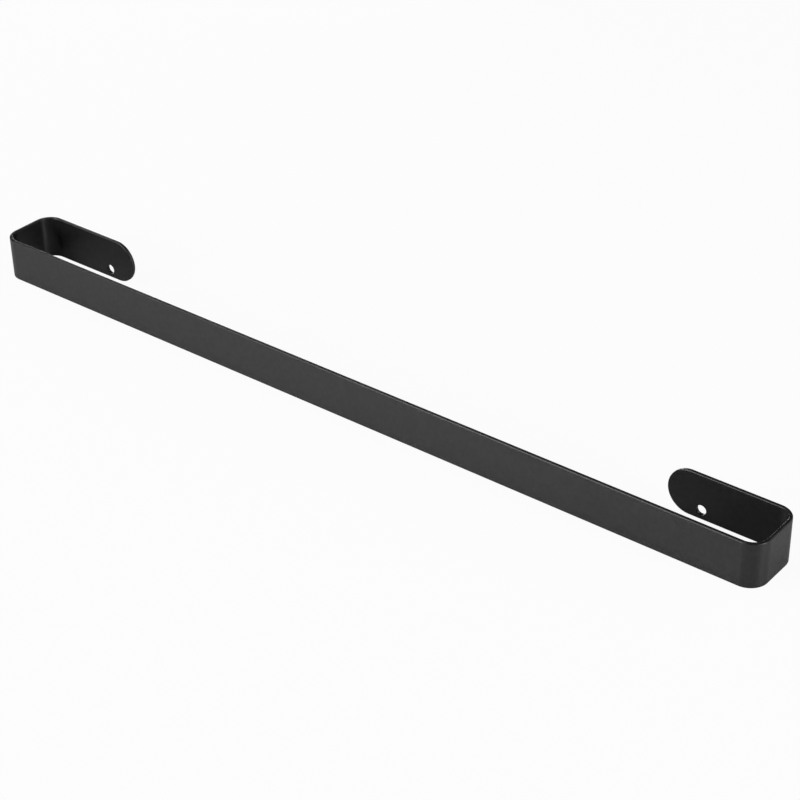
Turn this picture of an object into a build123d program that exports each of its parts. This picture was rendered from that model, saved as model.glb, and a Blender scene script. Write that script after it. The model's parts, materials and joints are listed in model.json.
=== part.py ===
"""Wall towel bar folded from one length of flat steel bar.

The strip stands on edge. Its long front carries the towel, a short leg at each end reaches back to the
wall, and a tab turns inwards along the wall with one screw hole. Millimetres, +Z up, +X along the bar.
The wall is the plane Y = 0, and the origin lies on it midway between the two screw holes.
"""

import os

from build123d import *

# Driving dimensions
BAR_LENGTH = 600.0  # over the outer faces of the two legs
STRIP_HEIGHT = 30.0  # width of the flat bar
STRIP_THICKNESS = 2.5
TOWEL_GAP = 39.0  # clear depth between the bar's back and the tabs
BEND_RADIUS = 9.5  # inside radius of the four bends
TAB_LENGTH = 84.0  # outer face of a leg to the tip of its tab
EDGE_RADIUS = 0.7  # rounded edges of the flat bar and of the tips
HOLE_DIAMETER = 6.5
HOLE_FROM_TIP = 23.0  # tip of a tab to the centre of its hole
HOLE_LAND = 3.0  # metal left between a hole and the lower edge
HOLE_RIM_RADIUS = 0.4  # deburred rims of the holes
LARGEST_ROUNDING = 0.45  # share of the thickness that one rounding may take

# Places that follow from them
lower_edge = -(HOLE_LAND + HOLE_DIAMETER / 2)
middle_height = lower_edge + STRIP_HEIGHT / 2
front = -(TOWEL_GAP + 2 * STRIP_THICKNESS)
leg_face = BAR_LENGTH / 2
tab_tip = leg_face - TAB_LENGTH
tip_radius = STRIP_HEIGHT / 2
hole_place = tab_tip + HOLE_FROM_TIP
edge_radius = min(EDGE_RADIUS, LARGEST_ROUNDING * STRIP_THICKNESS)
rim_radius = min(HOLE_RIM_RADIUS, LARGEST_ROUNDING * STRIP_THICKNESS)

with BuildPart() as towel_bar:
    # The folded strip seen from above: its wall and outer side, thickened inwards.
    with BuildSketch(Plane.XY.offset(lower_edge)):
        with BuildLine():
            FilletPolyline(
                (-tab_tip, 0),
                (-leg_face, 0),
                (-leg_face, front),
                (leg_face, front),
                (leg_face, 0),
                (tab_tip, 0),
                radius=BEND_RADIUS + STRIP_THICKNESS,
            )
            offset(amount=STRIP_THICKNESS, side=Side.LEFT)
        make_face()
    extrude(amount=STRIP_HEIGHT)

    # The corners punched off each tab leave a full-round tip.
    with BuildSketch(Plane.XZ):
        with Locations((tab_tip, middle_height)):
            Rectangle(tip_radius, STRIP_HEIGHT, align=(Align.MIN, Align.CENTER))
        with Locations((tab_tip + tip_radius, middle_height)):
            Circle(tip_radius, mode=Mode.SUBTRACT)
        mirror(about=Plane.YZ)
    extrude(amount=STRIP_THICKNESS, mode=Mode.SUBTRACT)

    # The rounding runs on from each arc along the straight edges that are tangent to it.
    fillet(towel_bar.edges().filter_by(GeomType.CIRCLE), radius=edge_radius)

    # One plain screw hole through each tab, close to the lower edge, with its rims deburred.
    with Locations(Plane.XZ.offset(STRIP_THICKNESS)):
        with Locations((-hole_place, 0), (hole_place, 0)):
            Hole(HOLE_DIAMETER / 2, depth=STRIP_THICKNESS)
    fillet(towel_bar.edges(Select.LAST).filter_by(GeomType.CIRCLE), radius=rim_radius)

towel_bar.part.label = "towel_bar"
os.makedirs("parts", exist_ok=True)
export_step(towel_bar.part, "parts/towel_bar.step")
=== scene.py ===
"""Wall towel bar, folded from one strip of flat steel bar and powder coated black, on a pale studio floor.

Metres, in the row's own frame: +X along the bar, +Y into the wall, +Z up, with the wall at Y = 0.
"""

import json
from math import cos, pi, radians, sin

import bpy
import numpy as np
from mathutils import Matrix, Vector


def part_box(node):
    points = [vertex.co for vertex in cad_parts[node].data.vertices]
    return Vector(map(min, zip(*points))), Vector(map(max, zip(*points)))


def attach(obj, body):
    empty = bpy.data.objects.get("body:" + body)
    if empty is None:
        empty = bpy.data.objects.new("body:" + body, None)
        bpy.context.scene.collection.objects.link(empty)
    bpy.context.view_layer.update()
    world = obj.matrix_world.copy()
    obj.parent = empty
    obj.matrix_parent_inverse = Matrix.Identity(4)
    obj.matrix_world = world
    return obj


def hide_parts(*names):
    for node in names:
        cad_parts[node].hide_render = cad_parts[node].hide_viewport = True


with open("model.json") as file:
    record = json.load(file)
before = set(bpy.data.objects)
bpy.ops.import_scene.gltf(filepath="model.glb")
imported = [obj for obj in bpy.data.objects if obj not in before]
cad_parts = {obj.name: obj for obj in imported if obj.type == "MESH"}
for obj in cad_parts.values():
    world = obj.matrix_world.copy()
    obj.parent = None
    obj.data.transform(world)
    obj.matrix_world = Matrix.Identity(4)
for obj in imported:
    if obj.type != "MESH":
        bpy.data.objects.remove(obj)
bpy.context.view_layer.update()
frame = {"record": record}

# The folded strip
# Flat steel bar, bent cold round four equal bends into a front, two legs and two tabs. Each tab has a round
# tip and a hole for one wall screw. Satin black powder is baked on all over, with a peel and a fine grain.
STRIP_THICKNESS = 0.0025
BEND_RADIUS = 0.0095  # inside each bend
TAB_LENGTH = 0.084  # outer face of a leg to the tip of its tab
EDGE_ROUNDING = 0.0007
HOLE_RIM_ROUNDING = 0.0004
WELD_DISTANCE = 0.000001

strip_low, strip_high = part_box("towel_bar")
wall_screws = next(m for m in frame["record"]["mounts"] if m["name"] == "wall_screws")
hole_radius = wall_screws["dims"]["hole_r_mm"] / 1000
hole_x = wall_screws["dims"]["spacing_x_mm"] / 1000 / 2
hole_z = wall_screws["pos_m"][2]

half_thickness = STRIP_THICKNESS / 2
mid_z = (strip_low.z + strip_high.z) / 2
tip_radius = (strip_high.z - strip_low.z) / 2
flat_half_height = tip_radius - EDGE_ROUNDING  # where the broad faces end and the edge rounding starts
bend_mid_radius = BEND_RADIUS + half_thickness
bend_outer_radius = BEND_RADIUS + STRIP_THICKNESS
bend_x = strip_high.x - bend_outer_radius  # centre lines of the two right-hand bends
tip_reach = TAB_LENGTH - bend_outer_radius - tip_radius  # bend line to the centre of the round tip
hole_reach = bend_x - hole_x
hole_drop = hole_z - mid_z

FRONT_STEPS = 36
BEND_STEPS = 32
EDGE_STEPS = 8
TAB_TOP_STEPS = 28
TIP_STEPS = 56
TAB_LOWER_STEPS = 52
BEND_LINE_STEPS = 10
FLAT_RINGS = 8

COAT_DEEP = (0.0030, 0.0030, 0.0030, 1)
COAT_PALE = (0.0096, 0.0096, 0.0096, 1)
COAT_ROUGHNESS = (0.34, 0.42)
GRAIN_SIZE = 0.00035
PEEL_SIZE = 0.0022
MOTTLE_SIZE = 0.003
MOTTLE_DETAIL = 4
GLOSS_DETAIL = 4
PEEL_DETAIL = 1
GRAIN_DETAIL = 2
NOISE_LOW, NOISE_HIGH = 0.3, 0.7  # the middle of the noise's range, where most of it lies
GRAIN_HEIGHT = 0.00001
PEEL_HEIGHT = 0.000015


def rounded_edge(radius):
    """Section over an edge of the strip, from one broad face to the other: a quarter circle, a flat and a
    quarter circle. Gives how far each point reaches past the broad faces, its place in the thickness, and
    the normal in the same two directions."""
    quarter = np.linspace(0, pi / 2, EDGE_STEPS + 1)
    turn = np.concatenate([quarter, pi / 2 + quarter])
    side = np.repeat([1.0, -1.0], EDGE_STEPS + 1)
    depth = side * (half_thickness - radius) + radius * np.cos(turn)
    return radius * np.sin(turn), depth, np.sin(turn), np.cos(turn)


def tab_flat_outline():
    """Outline of a tab's flat as seen by a ray that turns about the hole's centre, in four stretches: the
    straight upper edge, the round tip, the straight lower edge and the bend line. Each length is the ray's
    distance to that line or circle. Gives the angles and the lengths, as a closed loop."""
    up = flat_half_height - hole_drop
    down = -flat_half_height - hole_drop
    to_tip = tip_reach - hole_reach
    upper_bend = np.arctan2(up, -hole_reach)
    upper_tip = np.arctan2(up, to_tip)
    lower_tip = np.arctan2(down, to_tip)
    lower_bend = np.arctan2(down, -hole_reach)
    upper = np.linspace(upper_bend, upper_tip, TAB_TOP_STEPS, endpoint=False)
    tip = np.linspace(upper_tip, lower_tip, TIP_STEPS, endpoint=False)
    lower = np.linspace(lower_tip, lower_bend, TAB_LOWER_STEPS, endpoint=False)
    bend = np.linspace(lower_bend, upper_bend - 2 * pi, BEND_LINE_STEPS + 1)
    along = to_tip * np.cos(tip) - hole_drop * np.sin(tip)
    past = flat_half_height**2 - to_tip**2 - hole_drop**2
    length = [
        up / np.sin(upper),
        along + np.sqrt(along**2 + past),
        down / np.sin(lower),
        -hole_reach / np.cos(bend),
    ]
    return np.concatenate([upper, tip, lower, bend]), np.concatenate(length)


def on_tab(along, height, depth):
    """Puts points of the flat tab in place: along the tab from the bend line, up from mid-height, and out
    from the middle of the thickness towards the wall."""
    along, height, depth = np.broadcast_arrays(along, height, depth)
    return np.stack([bend_x - along, depth - half_thickness, height + mid_z], axis=-1)


def towards_on_tab(along, height, depth):
    """Directions on the tab, in the same three terms."""
    along, height, depth = np.broadcast_arrays(along, height, depth)
    return np.stack([-along, depth, height], axis=-1)


def folded_strip(flat_heights):
    """Front, leg and both bends of the right half: the closed section carried along the folded mid-line.
    Each point is a bend's centre, or on the front one that slides along it, plus the radius outwards."""
    quarter = np.linspace(0, pi / 2, BEND_STEPS + 1)
    heading = np.concatenate([np.zeros(FRONT_STEPS), quarter, pi / 2 + quarter])
    outward = np.stack([np.sin(heading), -np.cos(heading), np.zeros_like(heading)], axis=1)
    centre_x = np.full(len(heading), bend_x)
    centre_x[:FRONT_STEPS] = np.linspace(0, bend_x, FRONT_STEPS, endpoint=False)
    front_turns = FRONT_STEPS + BEND_STEPS + 1
    centre_y = np.full(len(heading), strip_high.y - bend_outer_radius)
    centre_y[:front_turns] = strip_low.y + bend_outer_radius
    centre = np.stack([centre_x, centre_y, np.full(len(heading), mid_z)], axis=1)

    reach, depth, normal_reach, normal_depth = rounded_edge(EDGE_ROUNDING)
    inner_heights = flat_heights[1:-1]
    flat = np.ones(len(inner_heights))
    edge_height = flat_half_height + reach
    height = np.concatenate([inner_heights, edge_height, inner_heights[::-1], -edge_height])
    out = np.concatenate([flat * half_thickness, depth, -flat * half_thickness, depth[::-1]])
    normal_up = np.concatenate([flat * 0, normal_reach, flat * 0, -normal_reach])
    normal_out = np.concatenate([flat, normal_depth, -flat, normal_depth[::-1]])
    closed = np.append(np.arange(len(height)), 0)
    up = np.array([0.0, 0.0, 1.0])
    radius = (bend_mid_radius + out[closed])[None, :, None]
    points = centre[:, None] + radius * outward[:, None] + height[closed][None, :, None] * up
    normals_out = normal_out[closed][None, :, None] * outward[:, None]
    normals = normals_out + normal_up[closed][None, :, None] * up
    return points, normals


def tab_flat(angle, length, side):
    """One broad face of a tab: rings that open from the hole's rim to the flat's outline, each radius the
    geometric mean of the two, weighted by the ring's share of the way."""
    share = np.linspace(0, 1, FLAT_RINGS + 1)[:, None]
    rim = hole_radius + HOLE_RIM_ROUNDING
    ring = rim ** (1 - share) * length**share
    along = hole_reach + ring * np.cos(angle)
    height = hole_drop + ring * np.sin(angle)
    points = on_tab(along, height, side * half_thickness)
    return points, np.broadcast_to(towards_on_tab(0.0, 0.0, side), points.shape)


def tab_edge(angle, length):
    """The rounded edge of a tab: its section carried along the outline from the upper end of the bend line,
    round the tip and back to the lower end, always pointing straight out from the outline."""
    along = (hole_reach + length * np.cos(angle))[:, None]
    height = (hole_drop + length * np.sin(angle))[:, None]
    out_along = np.maximum(along - tip_reach, 0) / flat_half_height
    out_height = np.sign(height) * np.sqrt(1 - out_along**2)
    reach, depth, normal_reach, normal_depth = rounded_edge(EDGE_ROUNDING)
    points = on_tab(along + reach * out_along, height + reach * out_height, depth)
    return points, towards_on_tab(normal_reach * out_along, normal_reach * out_height, normal_depth)


def hole_wall(angle):
    """The screw hole through a tab: a wall with deburred rims, its section turned about the hole's axis."""
    reach, depth, normal_reach, normal_depth = rounded_edge(HOLE_RIM_ROUNDING)
    radius = hole_radius + HOLE_RIM_ROUNDING - reach
    turn = angle[:, None]
    points = on_tab(hole_reach + radius * np.cos(turn), hole_drop + radius * np.sin(turn), depth)
    inward = -normal_reach
    return points, towards_on_tab(inward * np.cos(turn), inward * np.sin(turn), normal_depth)


def welded(grids):
    """Joins grids of points and normals into one closed surface. Each cell of a grid is a quad, wound so
    that it faces the way its normals point, and points that agree to a micrometre become one."""
    points, normals, quads, start = [], [], [], 0
    for grid, grid_normals in grids:
        rows, columns = grid.shape[:2]
        index = start + np.arange(rows * columns).reshape(rows, columns)
        quad = np.stack([index[:-1, :-1], index[1:, :-1], index[1:, 1:], index[:-1, 1:]], axis=-1)
        points.append(grid.reshape(-1, 3))
        normals.append(grid_normals.reshape(-1, 3))
        quads.append(quad.reshape(-1, 4))
        start += rows * columns
    points, normals, quads = np.concatenate(points), np.concatenate(normals), np.concatenate(quads)
    across = points[quads[:, 2]] - points[quads[:, 0]]
    other = points[quads[:, 3]] - points[quads[:, 1]]
    inside_out = (np.cross(across, other) * normals[quads].sum(axis=1)).sum(axis=1) < 0
    quads[inside_out] = quads[inside_out, ::-1]
    places = np.round(points / WELD_DISTANCE).astype(np.int64)
    _, first, merged = np.unique(places, axis=0, return_index=True, return_inverse=True)
    return points[first], normals[first], merged.reshape(-1)[quads]


def noise(tree, coordinate, size, detail):
    """Noise on the piece's own coordinates, with features about that size."""
    node = tree.nodes.new("ShaderNodeTexNoise")
    node.inputs["Scale"].default_value = 1 / size
    node.inputs["Detail"].default_value = detail
    tree.links.new(coordinate, node.inputs["Vector"])
    return node.outputs["Fac"]


def powder_coat():
    """Near-black paint with a satin gloss. A fine mottle moves its colour, the peel moves its roughness, and
    two bumps lie on each other: the peel and the grain."""
    material = bpy.data.materials.new("satin_black_powder_coat")
    material.use_nodes = True
    tree = material.node_tree
    shader = tree.nodes["Principled BSDF"]
    coordinate = tree.nodes.new("ShaderNodeTexCoord").outputs["Object"]

    mottle = noise(tree, coordinate, MOTTLE_SIZE, MOTTLE_DETAIL)
    colour = tree.nodes.new("ShaderNodeValToRGB")
    colour.color_ramp.elements[0].position = NOISE_LOW
    colour.color_ramp.elements[0].color = COAT_DEEP
    colour.color_ramp.elements[1].position = NOISE_HIGH
    colour.color_ramp.elements[1].color = COAT_PALE
    tree.links.new(mottle, colour.inputs["Fac"])
    tree.links.new(colour.outputs["Color"], shader.inputs["Base Color"])

    gloss = tree.nodes.new("ShaderNodeMapRange")
    gloss.inputs["From Min"].default_value = NOISE_LOW
    gloss.inputs["From Max"].default_value = NOISE_HIGH
    gloss.inputs["To Min"].default_value = COAT_ROUGHNESS[0]
    gloss.inputs["To Max"].default_value = COAT_ROUGHNESS[1]
    tree.links.new(noise(tree, coordinate, PEEL_SIZE, GLOSS_DETAIL), gloss.inputs["Value"])
    tree.links.new(gloss.outputs["Result"], shader.inputs["Roughness"])

    peel = tree.nodes.new("ShaderNodeBump")
    peel.inputs["Distance"].default_value = PEEL_HEIGHT
    tree.links.new(noise(tree, coordinate, PEEL_SIZE, PEEL_DETAIL), peel.inputs["Height"])
    grain = tree.nodes.new("ShaderNodeBump")
    grain.inputs["Distance"].default_value = GRAIN_HEIGHT
    tree.links.new(noise(tree, coordinate, GRAIN_SIZE, GRAIN_DETAIL), grain.inputs["Height"])
    tree.links.new(peel.outputs["Normal"], grain.inputs["Normal"])
    tree.links.new(grain.outputs["Normal"], shader.inputs["Normal"])
    return material


def put_in_scene(name, data):
    """Makes an object of a mesh, a lamp or a camera and adds it to the scene."""
    thing = bpy.data.objects.new(name, data)
    bpy.context.scene.collection.objects.link(thing)
    return thing


outline_angle, outline_length = tab_flat_outline()
edge_stretch = slice(0, len(outline_angle) - BEND_LINE_STEPS)
bend_stretch = slice(len(outline_angle) - BEND_LINE_STEPS - 1, None)
flat_heights = hole_drop + outline_length[bend_stretch] * np.sin(outline_angle[bend_stretch])
right_half = [
    folded_strip(flat_heights),
    tab_flat(outline_angle, outline_length, 1.0),
    tab_flat(outline_angle, outline_length, -1.0),
    tab_edge(outline_angle[edge_stretch], outline_length[edge_stretch]),
    hole_wall(outline_angle),
]
other_hand = np.array([-1.0, 1.0, 1.0])
left_half = [(points * other_hand, normals * other_hand) for points, normals in right_half]
strip_points, strip_normals, strip_quads = welded(right_half + left_half)

strip_mesh = bpy.data.meshes.new("folded_strip")
strip_mesh.from_pydata(strip_points.tolist(), [], strip_quads.tolist())
strip_mesh.polygons.foreach_set("use_smooth", np.ones(len(strip_quads), bool))
strip_mesh.update()
strip_mesh.normals_split_custom_set_from_vertices(strip_normals)
strip_mesh.materials.append(powder_coat())
folded_bar = put_in_scene("folded_strip", strip_mesh)
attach(folded_bar, "root")
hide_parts("towel_bar")

# The studio floor
# A broad white sheet with a satin face, on which the bar stands with its lower edge. It is seen as white and
# keeps the bar's soft shadow, and its sheen carries the softboxes' light up onto the strip's broad faces.
FLOOR_HALF_WIDTH = 4.0
SHEET_WHITE = (0.86, 0.86, 0.86, 1)
SHEET_ROUGHNESS = 0.25
SEEN_WHITE_SHARE = 0.94
MIRRORED_WHITE_SHARE = 0.05


def worked_out(tree, operation, *terms):
    """A Math node's result. Each term is another node's output or a plain number."""
    node = tree.nodes.new("ShaderNodeMath")
    node.operation = operation
    for socket, term in zip(node.inputs, terms):
        if isinstance(term, bpy.types.NodeSocket):
            tree.links.new(term, socket)
        else:
            socket.default_value = term
    return node.outputs[0]


def plain_white(tree, seen_share):
    """Share of plain white that a ray meets: much for the camera, little for reflections and glass."""
    ray = tree.nodes.new("ShaderNodeLightPath").outputs
    mirrored = worked_out(tree, "MAXIMUM", ray["Is Glossy Ray"], ray["Is Transmission Ray"])
    seen = worked_out(tree, "MULTIPLY", ray["Is Camera Ray"], seen_share)
    return worked_out(tree, "MULTIPLY_ADD", mirrored, MIRRORED_WHITE_SHARE, seen)


def satin_white_sheet():
    """White with a satin sheen. Plain white is mixed in, much for the camera and little for reflections."""
    material = bpy.data.materials.new("satin_white_sheet")
    material.use_nodes = True
    tree = material.node_tree
    sheet = tree.nodes["Principled BSDF"]
    sheet.inputs["Base Color"].default_value = SHEET_WHITE
    sheet.inputs["Roughness"].default_value = SHEET_ROUGHNESS
    white = tree.nodes.new("ShaderNodeEmission")
    mix = tree.nodes.new("ShaderNodeMixShader")
    tree.links.new(plain_white(tree, SEEN_WHITE_SHARE), mix.inputs["Fac"])
    tree.links.new(sheet.outputs[0], mix.inputs[1])
    tree.links.new(white.outputs[0], mix.inputs[2])
    tree.links.new(mix.outputs[0], tree.nodes["Material Output"].inputs["Surface"])
    return material


floor_corners = np.array([[-1, -1, 0], [1, -1, 0], [1, 1, 0], [-1, 1, 0]]) * FLOOR_HALF_WIDTH
floor_corners[:, 2] = strip_low.z
floor_mesh = bpy.data.meshes.new("studio_floor")
floor_mesh.from_pydata(floor_corners.tolist(), [], [(0, 1, 2, 3)])
floor_mesh.materials.append(satin_white_sheet())
studio_floor = put_in_scene("studio_floor", floor_mesh)

# The studio light
# Softboxes on stands, three metres from the bar, in a dim room whose far walls are seen as white. Three at
# the front left, left and right light the broad faces, and weaker ones light the edges and the floor.
SURROUND_WHITE = (1, 1, 1, 1)
SURROUND_LIGHT = 0.03
SEEN_SURROUND = 0.97
SOFTBOX_DISTANCE = 3.0

world = bpy.data.worlds.new("studio")
world.use_nodes = True
room = world.node_tree
surround = room.nodes["Background"]
surround.inputs["Color"].default_value = SURROUND_WHITE
room_white = worked_out(room, "MAXIMUM", plain_white(room, SEEN_SURROUND), SURROUND_LIGHT)
room.links.new(room_white, surround.inputs["Strength"])
bpy.context.scene.world = world


def looking(place, direction):
    """Turns a lamp or a camera to look along a direction from its place, with its top upwards."""
    return Matrix.Translation(place) @ direction.to_track_quat("-Z", "Y").to_matrix().to_4x4()


def softbox(name, azimuth, elevation, width, height, power):
    """A rectangular lamp that faces the bar's middle. The azimuth turns from +X towards +Y, in degrees."""
    lamp = bpy.data.lights.new(name, "AREA")
    lamp.shape = "RECTANGLE"
    lamp.size, lamp.size_y = width, height
    lamp.energy = power
    turn, rise = radians(azimuth), radians(elevation)
    outward = Vector((cos(rise) * cos(turn), cos(rise) * sin(turn), sin(rise)))
    put_in_scene(name, lamp).matrix_world = looking(SOFTBOX_DISTANCE * outward, -outward)


softbox("front_left_softbox", azimuth=-112.5, elevation=18, width=1.2, height=1.4, power=57)
softbox("left_softbox", azimuth=-137, elevation=36, width=1.2, height=1.2, power=23)
softbox("right_softbox", azimuth=2, elevation=19, width=1.2, height=1.4, power=54)
softbox("back_right_softbox", azimuth=62, elevation=26, width=1.2, height=1.2, power=12)
softbox("back_left_softbox", azimuth=136, elevation=6, width=1.2, height=0.4, power=12)
softbox("high_softbox", azimuth=162, elevation=67, width=1.2, height=1.2, power=12)

# The camera
# To the right of the bar's middle and above it, with a long lens, rolled by about a degree.
CAMERA_PLACE = Vector((0.7095, -0.8505, 0.6815))
CAMERA_AIM = Vector((0.0525, -0.0440, 0.0244))
CAMERA_ROLL = radians(-1.09)
CAMERA_LENS = 92.18  # millimetres, as is the sensor's width
SENSOR_WIDTH = 36

camera_data = bpy.data.cameras.new("studio_camera")
camera_data.lens = CAMERA_LENS
camera_data.sensor_width = SENSOR_WIDTH
camera = put_in_scene("studio_camera", camera_data)
level_view = looking(CAMERA_PLACE, CAMERA_AIM - CAMERA_PLACE)
camera.matrix_world = level_view @ Matrix.Rotation(CAMERA_ROLL, 4, "Z")
bpy.context.scene.camera = camera
bpy.context.scene.view_settings.view_transform = "Standard"
